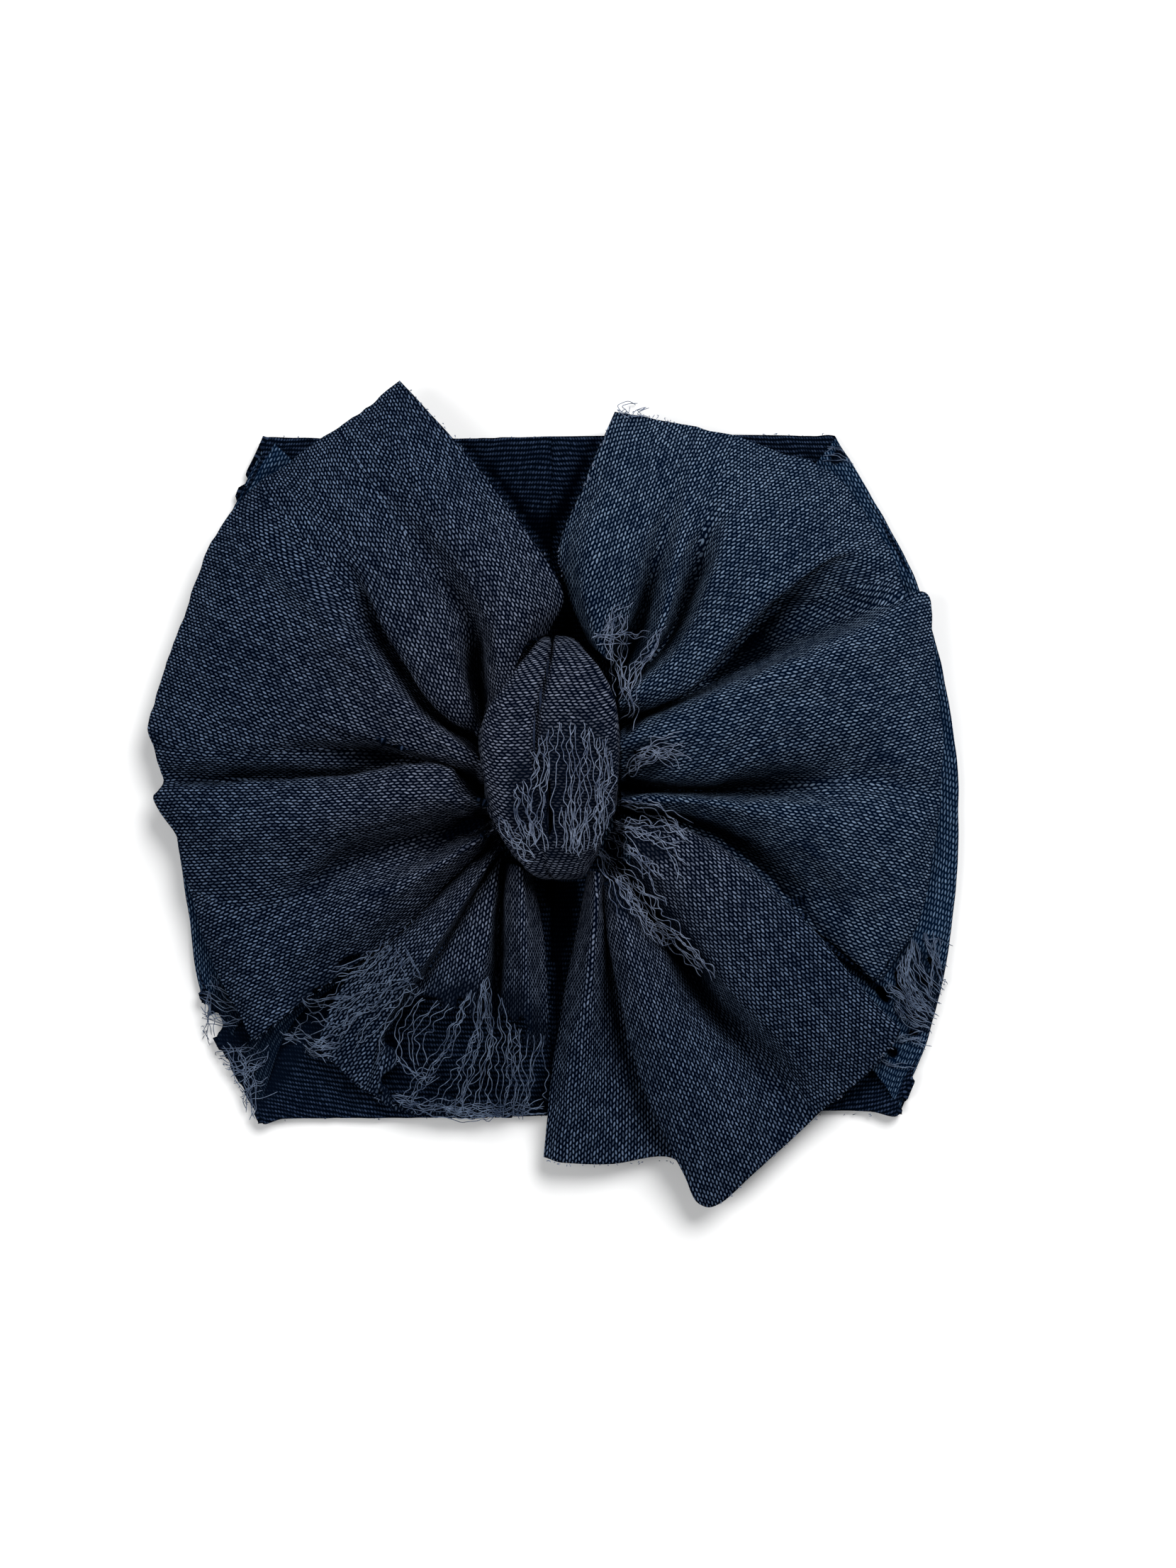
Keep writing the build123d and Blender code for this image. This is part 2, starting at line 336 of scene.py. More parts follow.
class Nodes:
    """Short names for making shader nodes."""

    def __init__(self, name):
        self.material = bpy.data.materials.new(name)
        self.material.use_nodes = True
        self.tree = self.material.node_tree
        self.shader = self.tree.nodes["Principled BSDF"]

    def add(self, kind, **values):
        node = self.tree.nodes.new(kind)
        for key, value in values.items():
            setattr(node, key, value)
        return node

    def link(self, a, b):
        self.tree.links.new(a, b)

    def put(self, socket, value):
        if isinstance(value, bpy.types.NodeSocket):
            self.link(value, socket)
        else:
            socket.default_value = value

    def math(self, op, a, b=0.0, c=0.0):
        node = self.add("ShaderNodeMath", operation=op)
        for socket, value in zip(node.inputs, (a, b, c)):
            self.put(socket, value)
        return node.outputs[0]

    def mix(self, factor, a, b):
        node = self.add("ShaderNodeMix", data_type="RGBA")
        self.put(node.inputs[0], factor)
        self.put(node.inputs[6], a if isinstance(a, bpy.types.NodeSocket) else (*a, 1))
        self.put(node.inputs[7], b if isinstance(b, bpy.types.NodeSocket) else (*b, 1))
        return node.outputs[2]

    def hypot(self, a, b):
        return self.math("SQRT", self.math("ADD", self.math("MULTIPLY", a, a), self.math("MULTIPLY", b, b)))

    def ramp(self, value, low, high):
        """0 below low, 1 above high, smooth between."""
        node = self.add("ShaderNodeMapRange", interpolation_type="SMOOTHSTEP")
        self.put(node.inputs[0], value)
        self.put(node.inputs[1], low)
        self.put(node.inputs[2], high)
        return node.outputs[0]

    def random(self, x, y, z=0.0):
        join = self.add("ShaderNodeCombineXYZ")
        for socket, value in zip(join.inputs, (x, y, z)):
            self.put(socket, value)
        noise = self.add("ShaderNodeTexWhiteNoise", noise_dimensions="3D")
        self.link(join.outputs[0], noise.inputs["Vector"])
        return noise.outputs["Value"]

    def noise(self, vector, scale, detail=2.0):
        node = self.add("ShaderNodeTexNoise")
        self.link(vector, node.inputs["Vector"])
        node.inputs["Scale"].default_value = scale
        node.inputs["Detail"].default_value = detail
        return node.outputs[0]

    def matt(self, colour, roughness, height, strength, relief):
        """The material: a dull surface with small bumps, relief being in mm."""
        self.link(colour, self.shader.inputs["Base Color"])
        self.shader.inputs["Roughness"].default_value = roughness
        self.shader.inputs["Specular IOR Level"].default_value = 0.0
        bump = self.add("ShaderNodeBump")
        bump.inputs["Strength"].default_value = strength
        bump.inputs["Distance"].default_value = relief * MM
        self.link(height, bump.inputs["Height"])
        self.link(bump.outputs[0], self.shader.inputs["Normal"])
        return self.material


def srgb(r, g, b):
    """Linear colour of an 8-bit display colour."""
    def one(c):
        c /= 255
        return c / 12.92 if c < 0.04045 else ((c + 0.055) / 1.055) ** 2.4
    return (one(r), one(g), one(b))


WORN_SHARE, PAINTED_SHADE_SHARE = 0.82, 0.93  # how fully worn places take their dark colour, and how fully deep folds take the near-black painted shade


def knit(name, ground, dark, light, row=ROW_PITCH, stitch=STITCH_PITCH, fill=0.375, tilt=0.28, relief=0.3,
         heather=0.5, worn=(3, 8, 19), along=1, centre=None):
    """Knitted cloth: short yarn dashes in a brick lattice, each of its own shade, over a dark
    ground. The dashes run along the UV axis numbered by along. Worn places are darker, deep folds
    are darkened with painted shade, and with centre the yarn is of that colour near the knot."""
    n = Nodes(name)
    uv = n.add("ShaderNodeUVMap", uv_map="weave").outputs[0]
    bend = n.noise(uv, 110.0, 1.0)
    split = n.add("ShaderNodeSeparateXYZ")
    n.link(uv, split.inputs[0])
    wobble = n.math("MULTIPLY", n.math("SUBTRACT", bend, 0.5), 1.2)
    u = n.math("ADD", n.math("DIVIDE", split.outputs[1 - along], row * MM), wobble)
    v = n.math("DIVIDE", split.outputs[along], stitch * MM)
    row_id = n.math("FLOOR", u)
    parity = n.math("FLOORED_MODULO", row_id, 2.0)
    v = n.math("ADD", v, n.math("MULTIPLY", parity, 0.5))
    v = n.math("ADD", v, n.math("MULTIPLY", wobble, 0.5))
    cell = n.math("FLOOR", v)
    fu = n.math("SUBTRACT", n.math("SUBTRACT", u, row_id), 0.5)
    fv = n.math("SUBTRACT", n.math("SUBTRACT", v, cell), 0.5)
    lean = n.math("MULTIPLY", n.math("SUBTRACT", parity, 0.35), tilt * 2)
    fu = n.math("SUBTRACT", fu, n.math("MULTIPLY", fv, lean))
    shade = n.random(row_id, cell)
    size = n.math("MULTIPLY_ADD", n.random(cell, row_id, 7.0), 0.25, 0.85)
    a = n.math("DIVIDE", fu, n.math("MULTIPLY", size, fill))
    b = n.math("DIVIDE", fv, n.math("MULTIPLY", size, 0.5))
    far = n.hypot(a, b)
    dash = n.math("SUBTRACT", 1.0, n.ramp(far, 0.55, 1.0))
    fine = n.noise(uv, 2600.0, 2.0)
    patch = n.noise(uv, 70.0, 3.0)
    tone = n.math("ADD", n.math("MULTIPLY", shade, heather), n.math("MULTIPLY", patch, 1.0 - heather))
    tone = n.ramp(n.math("ADD", tone, n.math("MULTIPLY", n.math("SUBTRACT", fine, 0.5), 0.4)), -0.1, 1.05)
    if centre:
        spot = n.add("ShaderNodeSeparateXYZ")
        n.link(n.add("ShaderNodeTexCoord").outputs["Object"], spot.inputs[0])
        away = n.hypot(spot.outputs[0], spot.outputs[1])
        light = n.mix(n.ramp(away, 0.015, 0.085), centre, light)
    yarn = n.mix(tone, dark, light)
    colour = n.mix(dash, ground, yarn)
    wear = n.add("ShaderNodeAttribute", attribute_name="wear").outputs["Fac"]
    bare = n.ramp(n.math("ADD", wear, n.math("MULTIPLY", n.math("SUBTRACT", fine, 0.5), 0.5)), 0.25, 0.9)
    colour = n.mix(n.math("MULTIPLY", bare, WORN_SHARE), colour, srgb(*worn))
    # Painted shade: the baked mark darkens deep folds and hollows towards near black, in place of the shade
    # that falls there
    painted_shade = n.add("ShaderNodeAttribute", attribute_name="painted_shade").outputs["Fac"]
    colour = n.mix(n.math("MULTIPLY", painted_shade, PAINTED_SHADE_SHARE), colour, srgb(0, 1, 5))
    height = n.math("ADD", dash, n.math("MULTIPLY", fine, 0.35))
    return n.matt(colour, 0.92, height, 1.0, relief)


def yarn_material(name, dark, light, scale=900.0):
    """Loose yarn: many thin fibres, lighter than the cloth it came from."""
    n = Nodes(name)
    where = n.add("ShaderNodeTexCoord").outputs["Object"]
    tone = n.noise(where, scale, 3.0)
    slow = n.noise(where, 120.0, 2.0)
    mixed = n.ramp(n.math("ADD", n.math("MULTIPLY", tone, 0.6), n.math("MULTIPLY", slow, 0.4)), 0.3, 0.7)
    return n.matt(n.mix(mixed, dark, light), 0.95, tone, 0.8, 0.05)


KNIT_BOW = knit("knit_bow_outer", srgb(0, 4, 16), srgb(3, 13, 32), srgb(98, 116, 142),
                centre=srgb(118, 125, 143))
# Painted light: a lighter, bluer copy of the bow's knit for the right loop, standing in for the brighter
# light on the bow's right side
KNIT_BOW_LIT_RIGHT = knit("knit_bow_outer_lit_right", srgb(0, 8, 25), srgb(8, 26, 50), srgb(114, 133, 156))
KNIT_BAND = knit("knit_band_outer", srgb(1, 14, 34), srgb(16, 38, 64), srgb(96, 119, 145))
INNER = knit("knit_inner_face", srgb(1, 5, 13), srgb(9, 17, 32), srgb(44, 57, 80), row=1.2, stitch=0.69,
             fill=0.36, tilt=0.0, relief=0.12, heather=0.6, along=0)
YARN = yarn_material("loose_yarn", srgb(40, 50, 70), srgb(102, 116, 138))
PALE_YARN = yarn_material("loose_yarn_pale", srgb(54, 64, 86), srgb(124, 135, 156))
SEWING = yarn_material("sewing_thread_navy", srgb(16, 22, 36), srgb(40, 48, 66), 1500.0)

# ---- The loops: control lines from the knot out to the fold, in mm
LOOP_LEVEL, LOOP_FALL = 13.8, 0.078  # of the loops' undersides: height at the knot and slope
LOOP_ROOM = 2.2  # least depth between a loop's two sides, mm
LOOP_TOP_END = 5.2  # the station where a loop's top side ends, just past its fold


def under(lines):
    """Carries each line of a loop round its fold and back beneath to the knot."""
    low = lambda q: LOOP_LEVEL - LOOP_FALL * np.hypot(*q)
    p = np.array(lines, float)
    out = []
    for i, line in enumerate(p):
        fold, root = line[-1], line[0]
        beyond = fold[:2] - line[-2][:2]
        beyond /= np.linalg.norm(beyond)
        inner = fold[:2] - beyond * 1.6
        path = line[:-1].tolist()
        path.append([*inner, fold[2]])
        path.append([*fold[:2], (fold[2] + low(fold[:2])) / 2 + 0.3])
        rise = 1.0 if i in (0, len(p) - 1) else 0.0
        for share in (0.03, 0.35, 0.7, 0.97):
            q = fold[:2] * (1 - share) + root[:2] * share
            path.append([*q, low(q) + rise])
        out.append(path)
    return out


LEFT_LOOP = [
    [(-1, 30, 21), (3, 38.5, 24), (-2.5, 50, 24.5), (-18, 71.5, 18), (-36.9, 92.3, 11)],
    [(-6, 27, 28), (-4, 37, 29), (-13, 50, 28), (-30, 70, 22), (-42, 88.3, 12)],
    [(-13.5, 9, 24), (-14, 22, 29), (-16, 36, 29), (-35, 66, 23), (-47, 84.5, 12)],
    [(-16.5, 7, 15), (-17.8, 20, 19), (-19.5, 33, 24.5), (-41, 63, 22), (-52, 81, 12)],
    [(-16.5, 6, 20), (-21.5, 18, 26.5), (-28, 36, 28.5), (-48, 61, 23), (-59, 76.2, 12)],
    [(-17, 5, 19), (-27, 12, 25.5), (-38, 28, 27), (-49, 51, 24.2), (-66.5, 70.2, 12)],
    [(-17, 5.5, 12.5), (-26.5, 14.2, 17.5), (-37, 30, 21), (-52.5, 49, 23.9), (-69.5, 68.2, 12)],
    [(-18, 4, 14), (-29.5, 12.5, 22), (-41.5, 27.5, 24), (-57, 46.5, 23.6), (-73, 65.5, 12)],
    [(-17.5, 1.5, 23), (-31.5, 10.5, 26), (-46.5, 26.5, 27.5), (-62.5, 44, 23.2), (-78, 60, 12)],
    [(-17, 0, 24), (-33.5, 9.5, 26.5), (-52, 25, 26.5), (-71, 44, 20), (-83.5, 51, 11)],
    [(-16.5, -1, 24), (-36, 7.5, 26), (-56, 19, 25), (-76, 33, 20), (-89, 36, 11)],
    [(-16, -3, 22), (-38, 3.5, 24.5), (-60, 10, 23.5), (-80, 16, 19), (-96.5, 15, 10)],
    [(-16, -6, 17), (-34, 2.4, 22.5), (-55, 5, 22.8), (-75, 6, 19), (-97.9, 8, 10)],
    [(-16, -7.2, 11), (-33, 0.2, 16), (-54, 2, 20), (-75, 2, 18), (-97, 3.5, 10)],
    [(-16, -7.6, 11), (-30, -1.2, 15), (-52, -1.5, 19.5), (-78, -0.7, 16.5), (-96, -0.5, 10)],
    [(-16, -8, 11), (-28, -2.8, 13), (-50, -4.6, 14), (-76, -4.8, 10), (-94.3, -4.6, 8)],
    [(-16, -8, 17), (-27, -1, 23), (-50, -4, 22), (-76, -5.8, 18), (-95.6, -7.4, 10)],
    [(-15, -10, 22), (-30, -6, 25.5), (-52, -10, 25), (-76, -13, 20), (-96.8, -9.4, 10)],
    [(-14.5, -11.5, 21), (-30, -12, 24), (-55, -18.5, 23.5), (-75, -24, 18.5), (-91, -19, 10)],
    [(-14, -12.5, 17), (-28, -14.2, 20), (-48, -19, 21.5), (-72, -31, 17.5), (-89.7, -26, 10)],
    [(-13.5, -13.5, 10), (-27, -17, 12), (-47, -23.5, 17), (-70, -36, 16), (-88, -32, 10)],
    [(-13.5, -14.5, 12), (-27, -20.5, 16), (-47, -29, 19.5), (-68, -42, 16), (-85.5, -40, 10)],
    [(-13, -16, 20), (-25, -23.5, 22.5), (-44, -35, 22), (-64, -48, 16.5), (-81, -52, 10)],
    [(-12.5, -17.5, 16), (-21.5, -26.5, 17.5), (-37, -42, 16), (-54, -54, 13), (-72.8, -68.3, 9)],
]

RIGHT_LOOP = [
    [(9, 28, 18), (4, 40, 22), (1.5, 50.5, 22), (8, 67, 18), (15.5, 85, 11)],
    [(12, 25.5, 26), (10, 40, 28), (11, 53, 27.5), (18, 70, 21), (24, 83.2, 11)],
    [(14, 23.5, 23), (18, 35, 25), (20, 47, 26), (25, 65, 20.5), (29, 82, 11)],
    [(15, 22, 14.5), (21.5, 35, 18.5), (25, 48, 22), (29, 63, 19.5), (33, 81.3, 11)],
    [(16, 17, 23), (25, 28, 26), (29.5, 43, 26), (32.5, 59, 22), (38, 80.2, 11)],
    [(16, 16, 15), (28, 29.5, 19.5), (34.5, 44, 21.5), (37.5, 59, 20.5), (45, 78.8, 11)],
    [(16.5, 15, 23), (31, 28, 25.5), (38.5, 43, 27.5), (44, 60, 23), (53, 76, 11)],
    [(16.5, 13, 25), (33, 23.5, 27), (47, 40, 27), (58, 56, 22), (68, 70, 11)],
    [(16.5, 10, 20), (33, 16.8, 24.5), (47, 31.5, 25.5), (62, 46, 22), (78, 57, 10.5)],
    [(16.5, 9, 11), (33.5, 17.8, 13), (48.5, 33.5, 15), (66, 45.5, 17), (83.5, 48, 10)],
    [(17, 8, 10), (36, 16.8, 12), (54, 27.5, 13), (72, 36.5, 13), (86, 41.5, 9)],
    [(16.5, 6.5, 19), (36, 15.2, 24), (55, 22.8, 24.5), (74, 30.8, 20), (91.5, 40, 11)],
    [(16.5, 4, 24.5), (37, 9.5, 26.5), (58, 15, 25), (79, 20, 19.5), (93.4, 21, 11)],
    [(16.5, 1, 24), (37, 3, 25.5), (58, 6, 23.5), (78, 7, 18.5), (95, 7, 11)],
    [(16.5, -4, 20), (34, -5, 22), (50, -2.3, 21), (72, 1, 17.5), (95, -3, 11)],
    [(16.5, -6.5, 11), (34, -7.4, 12), (50, -6.7, 14), (72, -5, 15), (94.8, -8, 10)],
    [(17, -8, 18), (36, -9.4, 22), (54, -11, 22), (75, -12, 18), (94, -14, 11)],
    [(17, -9.5, 20), (38, -13, 20.5), (58, -20, 20), (77, -25, 16.5), (92, -27, 10.5)],
    [(18, -10.5, 14), (40, -17.5, 15), (58, -29, 14), (76, -38.5, 13), (88.7, -41, 10)],
    [(18, -11.5, 11.5), (40, -22, 10.5), (56, -35, 9.5), (70, -46, 9), (79.5, -54.6, 8.5)],
]

RIGHT_TAIL = [
    [(9, -27, 12), (7, -38, 12.5), (3.5, -55, 10.5), (0.2, -76, 8.5), (-2, -96.8, 6)],
    [(11, -27, 19), (10.5, -40, 20.5), (8.5, -58, 17.5), (5.5, -78, 13), (4, -98.2, 8)],
    [(12.3, -28, 17), (13, -42, 16.5), (13.5, -60, 14), (14, -80, 10.5), (14, -98.5, 7)],
    [(13.2, -29, 10), (15.5, -44, 9), (20.5, -63, 8), (25.5, -82, 7), (30, -97.3, 6)],
    [(12.6, -30, 16), (13.8, -44, 18.5), (18.3, -65, 16.5), (25, -85, 13.5), (36, -108, 8.5)],
    [(14, -30, 20), (19, -47, 22), (25, -64, 20), (33, -83, 15.5), (41, -108, 9)],
    [(16, -29, 19), (24, -46, 20), (31, -60, 17.5), (43, -80, 14), (51, -99, 9)],
    [(18, -28, 15), (29.5, -44.5, 13.5), (38, -58, 11), (53, -76, 10), (61, -90, 8)],
    [(19, -26, 19), (31.5, -40.5, 20.5), (43, -54, 20), (58, -68, 16.5), (68, -83.5, 9.5)],
    [(19, -22, 22), (35, -34, 24), (50, -47, 22.5), (67, -62, 17.5), (77, -76, 10.5)],
    [(18, -15, 20), (35, -18, 22), (48.5, -27, 21), (66.5, -45, 17.5), (84.5, -66, 11)],
    [(17.5, -14, 13), (35.5, -19.5, 14), (48.5, -30, 13), (65.5, -48, 11), (82, -63.5, 8)],
]

LEFT_TAIL = [
    [(-4, -28, 12), (-2.2, -38, 13), (-0.9, -52, 12), (-1, -68, 9.5), (-2.5, -86, 5)],
    [(-7, -26, 20), (-6.5, -40, 21), (-6, -54, 18), (-6.5, -70, 13), (-8, -87, 6)],
    [(-10, -25, 17), (-11, -38, 17), (-11, -52, 14.5), (-13, -68, 10), (-15, -87.3, 5)],
    [(-11.8, -25, 9), (-12.6, -38, 8), (-13, -52, 7.5), (-14.5, -68, 6), (-19, -87.5, 4.5)],
    [(-12, -24, 15), (-14.2, -36, 16.5), (-16.6, -52, 15.5), (-21, -68, 11), (-28, -87, 5)],
    [(-12.3, -22.5, 14.5), (-19, -34.5, 15), (-25.5, -48, 14), (-33, -66, 9.5), (-38, -85.5, 5)],
    [(-12.4, -21.6, 10.5), (-19.5, -33.6, 11), (-29, -49.3, 11.5), (-38, -63, 8), (-43, -82, 5)],
    [(-12.4, -21, 17), (-20, -32.6, 19), (-30.5, -48.8, 17), (-40.5, -61.5, 11.5), (-46.5, -80, 6)],
    [(-12.4, -19.5, 15), (-22.5, -30, 16.5), (-34, -43, 14.5), (-46, -56.5, 10.5), (-53, -74, 6)],
    [(-12.5, -17.5, 10), (-25, -28, 10.5), (-37, -39.5, 9.5), (-50, -53, 8), (-57.5, -70, 6)],
]

# ---- The head band: one loop. Its lines run from its top edge to its bottom edge.
BAND = [
    [(0, 79.2, 1.3), (0, 40, 1.3), (0, 0, 1.3), (0, -35, 1.3), (0, -62, 1.3), (0, -87, 1.3)],
    [(40, 79.6, 1.3), (50, 40, 1.3), (55, 0, 1.3), (54, -35, 1.3), (50, -62, 1.3), (42, -86.5, 1.3)],
    [(64, 79.4, 1.3), (80, 44, 1.3), (90, 0, 1.3), (89, -36, 1.3), (85, -62, 1.3), (78, -86, 1.3)],
    [(69.5, 79.3, 2.2), (89, 44, 2.4), (98.6, 2, 2.8), (98.4, -34, 2.8), (93.6, -62, 2.6), (85, -86.7, 2.3)],
    [(68.5, 77.5, 3.6), (84, 41, 4.6), (92.5, 2, 5), (93, -34, 4.8), (89.5, -59, 4.6), (83, -82, 3.6)],
    [(55, 62, 5), (64, 34, 6.4), (70, 0, 6.6), (69, -27, 6.6), (66, -43, 6.2), (63, -62, 5)],
    [(38, 43, 6.8), (42, 24, 7.8), (43, 0, 8), (43, -14, 8), (42, -26, 7.8), (38, -43, 6.8)],
    [(18, 26, 7.4), (18, 14, 8.4), (18, 0, 8.8), (18, -8, 8.6), (18, -16, 8.2), (18, -25, 7)],
    [(0, 23, 7), (0, 12, 8), (0, 0, 8.4), (0, -7, 8.2), (0, -15, 7.8), (0, -23, 7)],
    [(-18, 26, 7), (-18, 14, 7.6), (-18, 0, 7.6), (-18, -8, 8.6), (-18, -16, 8.2), (-18, -25, 7)],
    [(-38, 45, 6.2), (-42, 24, 6.6), (-43, 0, 6.6), (-43, -14, 7), (-42, -26, 7.8), (-38, -43, 6.8)],
    [(-55, 65, 4.8), (-62, 34, 6.4), (-68, 0, 6.6), (-67, -28, 6.4), (-61, -42, 6), (-52, -54, 5)],
    [(-69, 78.5, 3.2), (-82.5, 43, 4.4), (-90, 2, 5), (-85.5, -34, 4.7), (-80, -54, 4.3), (-68, -74.5, 3.6)],
    [(-69.8, 79.1, 2.2), (-85, 44, 2.4), (-93.5, 2, 2.8), (-89, -35, 2.6), (-84.5, -62, 2.5),
     (-71.3, -88, 2.2)],
    [(-64, 79, 1.3), (-78, 44, 1.3), (-86, 0, 1.3), (-83, -35, 1.3), (-77, -62, 1.3), (-66, -87.8, 1.3)],
    [(-40, 78.6, 1.3), (-48, 40, 1.3), (-52, 0, 1.3), (-50, -35, 1.3), (-46, -62, 1.3), (-40, -87.5, 1.3)],
]
# ---- The knot wrap: rings round the bundle. Each line is one ring from left to right.


KNOT_HALF_LENGTH, KNOT_HALF_HEIGHT = 29.0, 14.2
KNOT_Y, KNOT_Z = 0.5, 22.3  # its middle
# (angle round the knot, left x, right x, share of the pleat's depth): 0 degrees is the crown, 90
# the side that faces the tails and 180 the underside
KNOT_OUTLINE = [
    (-90, -3.5, 6, 1.0), (-68, -5.5, 8.5, 1.0), (-50, -9.5, 12.4, 1.0), (-33, -14, 15.4, 1.0),
    (-17, -16.8, 16.4, 1.0), (0, -17, 16.6, 0.7), (20, -15.3, 15.8, 0.25), (45, -12.5, 12.8, 0.0),
    (68, -7.5, 9.2, 0.0), (90, -4, 8.5, 0.0), (125, -10, 12, 0.0), (180, -14, 14, 0.0),
    (235, -10, 12, 0.0),
]
# (place from left to right across the wrap, rise, depth of the pleat)
WRAP_PROFILE = [
    (0.0, -10, 0), (0.005, -5, 0), (0.035, -1.8, 0), (0.12, 0.0, 0), (0.26, 0.5, 0), (0.365, 0.4, 0.5),
    (0.4, 0.0, 3.0), (0.44, 0.8, 0.4), (0.6, 1.0, 0), (0.8, 0.5, 0), (0.965, -1.5, 0), (0.995, -5, 0),
    (1.0, -10, 0),
]


def knot_wrap_lines():
    """Lines round the knot. Its sides turn down by their full rise; the rest fades off the crown."""
    lines = []
    for angle, left, right, pleat in KNOT_OUTLINE:
        a = radians(angle)
        y = KNOT_Y - KNOT_HALF_LENGTH * sin(a)
        z = KNOT_Z + KNOT_HALF_HEIGHT * cos(a)
        crown = max(0.0, cos(a)) ** 0.5
        line = []
        for share, rise, dip in WRAP_PROFILE:
            x = left + (right - left) * share
            lift = (rise if abs(rise) > 2 else rise * (0.4 + 0.6 * crown)) - dip * pleat
            line.append((x, y - lift * sin(a), z + lift * cos(a)))
        lines.append(line)
    return lines


# ---- Worn places


def ellipse_mask(points, ellipses, seed, rough=0.35):
    """How deep a point lies in the nearest worn ellipse: over 0 is inside, up to 1 at its heart.
    An ellipse is (x, y, half length, half width, direction in degrees)."""
    x, y = points[:, 0], points[:, 1]
    ragged = noise2(x, y, 3.0, 3.0, seed) * rough + noise2(x, y, 1.2, 1.2, seed + 1) * rough * 0.5
    best = np.full(len(points), -9.0)
    for cx, cy, a, b, turn in ellipses:
        c, s = cos(radians(turn)), sin(radians(turn))
        p = ((x - cx) * c + (y - cy) * s) / a
        q = (-(x - cx) * s + (y - cy) * c) / b
        best = np.maximum(best, 1 - np.sqrt(p * p + q * q))
    return best + ragged


def holes(ellipses, seed, where):
    """Tells which faces stay: all but those inside an ellipse in the part that where picks."""
    return lambda points, u, v: ~((ellipse_mask(points, ellipses, seed) > 0) & where(points, u, v))


def wear_round(ellipses, seed):
    """Tells how worn each point is, from 0 to 1."""
    return lambda points: np.clip(ellipse_mask(points, ellipses, seed, 0.2) + 0.8, 0, 1)


LEFT_LOOP_HOLES = [(-53.5, -55.3, 4.2, 1.5, 12), (-48.5, -48.4, 3.2, 1.2, 22), (-45.5, -60, 3, 1.5, 20),
                   (-57, -62, 2.5, 1.2, 30), (-66, -65.5, 2.4, 1.2, 20)]
LEFT_LOOP_WORN = [(-53, -58, 9, 5, 35), (-44, -52, 7, 3.5, 40)]
RIGHT_LOOP_HOLES = [(16.6, 21, 2.0, 1.0, 80), (21.8, 1.6, 2.4, 0.9, 10)]
RIGHT_LOOP_WORN = [(18, 25, 7, 4, 75), (24, 1, 5, 3.4, 10)]
RIGHT_TAIL_HOLES = [(24, -14.6, 3.6, 1.3, -14), (33, -45.5, 3, 1.1, -52)]
RIGHT_TAIL_WORN = [(21, -19, 7, 4, -30), (19, -30, 9, 5, -60), (31, -44, 9, 3, -52)]
LEFT_TAIL_HOLES = [(-24, -72, 12, 12, 0), (-12, -76, 9, 12, 0), (-5, -80, 7, 12.5, 0),
                   (-33, -79, 8, 6, 30), (-34, -64, 8, 4.0, 50)]
LEFT_TAIL_WORN = [(-20, -62, 14, 7, 0), (-6, -69, 8, 5, 0)]
KNOT_HOLES = [(-0.3, -12.5, 7.6, 0.9, 92)]
KNOT_WORN = [(5, -7, 14, 9.5, 86), (-5, -12, 9, 4, 100)]
BAND_LEFT_HOLES = [(-75.7, -67.5, 3.2, 2.2, 70), (-74.5, -78, 4, 1.2, 65), (-78.5, -73.5, 2.4, 1.0, 30)]
BAND_THROUGH_HOLES = [(-82.6, -64.6, 2.8, 1.8, 70), (-84.6, -60.5, 1.6, 0.9, 60)]
BAND_RIGHT_HOLES = [(92, -54.3, 3.4, 1.3, -35), (93, -49.7, 2.2, 0.9, -60), (85.7, -57, 2.4, 1.0, -40),
                    (84.7, -53, 2.2, 0.9, -70), (88.3, -62.8, 2.3, 0.8, 0), (80.7, -57, 2.2, 1.0, -50),
                    (95.6, -52.2, 1.2, 1.0, 0), (83.3, -71.3, 1.2, 1.0, 0), (88.3, -66.7, 1.5, 0.7, 0)]
BAND_TOP_HOLES = [(70.5, 74.5, 2.4, 1.3, 40)]
BAND_WORN = [(90, -56, 10, 5, -70), (-80, -66, 12, 5, 70), (-73, -77, 12, 6, 55), (-61, -66, 10, 4.5, 50)]

# ---- Make the cloth
SEEN = {}


def deepen(lines, gain, start, fall):
    """Makes the pleats deeper: heights move away from their mean at each station, but stay above
    a floor that falls away from the knot."""
    p = np.array(lines, float)
    mean = p[:, :, 2].mean(axis=0)
    least = start - fall * np.hypot(p[:, :, 0], p[:, :, 1])
    deep = mean + (p[:, :, 2] - mean) * np.array(gain)
    p[:, :, 2] = np.where(deep < p[:, :, 2], np.maximum(deep, np.minimum(least, p[:, :, 2])), deep)
    p[:, 1:-1, 2] = np.maximum(p[:, 1:-1, 2], least[:, 1:-1])
    return p


LOOP_GAIN = (1.3, 1.45, 1.6, 1.5, 1.0)  # of the pleats' depth, from the knot to the fold
TAIL_GAIN = (1.3, 1.5, 1.6, 1.6, 1.0)
TAIL_LEVEL, TAIL_FALL = 12.0, 0.055  # of the valleys' floor: its height at the knot and its slope


def bow_cloth(name, surface, panels, grain, hole_list, worn, seed, outer, fine=((), ()), hole_end=9):
    """A piece of the bow. Its holes stay before the station hole_end, which may be past its end."""
    on_top = lambda points, u, v: v < surface.v_of(hole_end)
    obj = cloth_object(name, surface, panels, grain, keep=holes(hole_list, seed, on_top),
                       wear=wear_round(hole_list + worn, seed), seed=seed, fine=fine)
    SEEN[name] = surface
    return finish_cloth(obj, outer, INNER)


def loop_surface(lines):
    """Both sides of a loop."""
    return Cloth(under(deepen(lines, LOOP_GAIN, LOOP_LEVEL + LOOP_ROOM, LOOP_FALL)))


def tail_surface(lines):
    return Cloth(deepen(lines, TAIL_GAIN, TAIL_LEVEL, TAIL_FALL))


